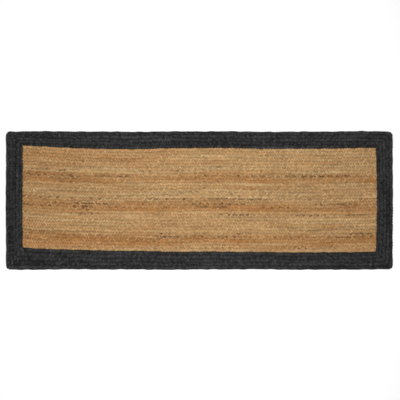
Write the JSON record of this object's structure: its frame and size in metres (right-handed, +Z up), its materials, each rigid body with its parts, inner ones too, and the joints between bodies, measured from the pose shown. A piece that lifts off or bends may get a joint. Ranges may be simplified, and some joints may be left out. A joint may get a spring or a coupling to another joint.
{
  "type": "runner rug",
  "caption": "Long narrow floor rug of flat jute braids laced side by side: a natural field with a dark braided border.",
  "frame": {"origin": "on the floor, under the middle of the rug", "axes": "+X along the rug, +Y across it, +Z up from the floor; the field's rows rise towards +Y most at the -X end"},
  "size_m": [2.134, 0.762, 0.009],
  "materials": {
    "natural_jute_braid": "matte",
    "charcoal_jute_braid": "matte",
    "natural_lacing_thread": "matte",
    "charcoal_lacing_thread": "matte"
  },
  "bodies": {
    "root": {"field_braid_01": "natural_jute_braid", "field_braid_02": "natural_jute_braid", "field_braid_03": "natural_jute_braid", "field_braid_04": "natural_jute_braid", "field_braid_05": "natural_jute_braid", "field_braid_06": "natural_jute_braid", "field_braid_07": "natural_jute_braid", "field_braid_08": "natural_jute_braid", "field_braid_09": "natural_jute_braid", "field_braid_10": "natural_jute_braid", "field_braid_11": "natural_jute_braid", "field_braid_12": "natural_jute_braid", "field_braid_13": "natural_jute_braid", "field_braid_14": "natural_jute_braid", "field_braid_15": "natural_jute_braid", "field_braid_16": "natural_jute_braid", "field_braid_17": "natural_jute_braid", "field_braid_18": "natural_jute_braid", "field_braid_19": "natural_jute_braid", "field_braid_20": "natural_jute_braid", "field_braid_21": "natural_jute_braid", "field_braid_22": "natural_jute_braid", "field_braid_23": "natural_jute_braid", "field_braid_24": "natural_jute_braid", "field_braid_25": "natural_jute_braid", "field_braid_26": "natural_jute_braid", "field_braid_27": "natural_jute_braid", "field_braid_28": "natural_jute_braid", "field_braid_29": "natural_jute_braid", "field_braid_30": "natural_jute_braid", "field_braid_31": "natural_jute_braid", "field_braid_32": "natural_jute_braid", "field_braid_33": "natural_jute_braid", "border_braid_1": "charcoal_jute_braid", "border_braid_2": "charcoal_jute_braid", "border_braid_3": "charcoal_jute_braid", "border_braid_4": "charcoal_jute_braid", "border_braid_5": "charcoal_jute_braid", "field_lacing": "natural_lacing_thread", "field_to_border_lacing": "charcoal_lacing_thread", "border_lacing_1": "charcoal_lacing_thread", "border_lacing_2": "charcoal_lacing_thread", "border_lacing_3": "charcoal_lacing_thread", "border_lacing_4": "charcoal_lacing_thread"}
  },
  "joints": []
}
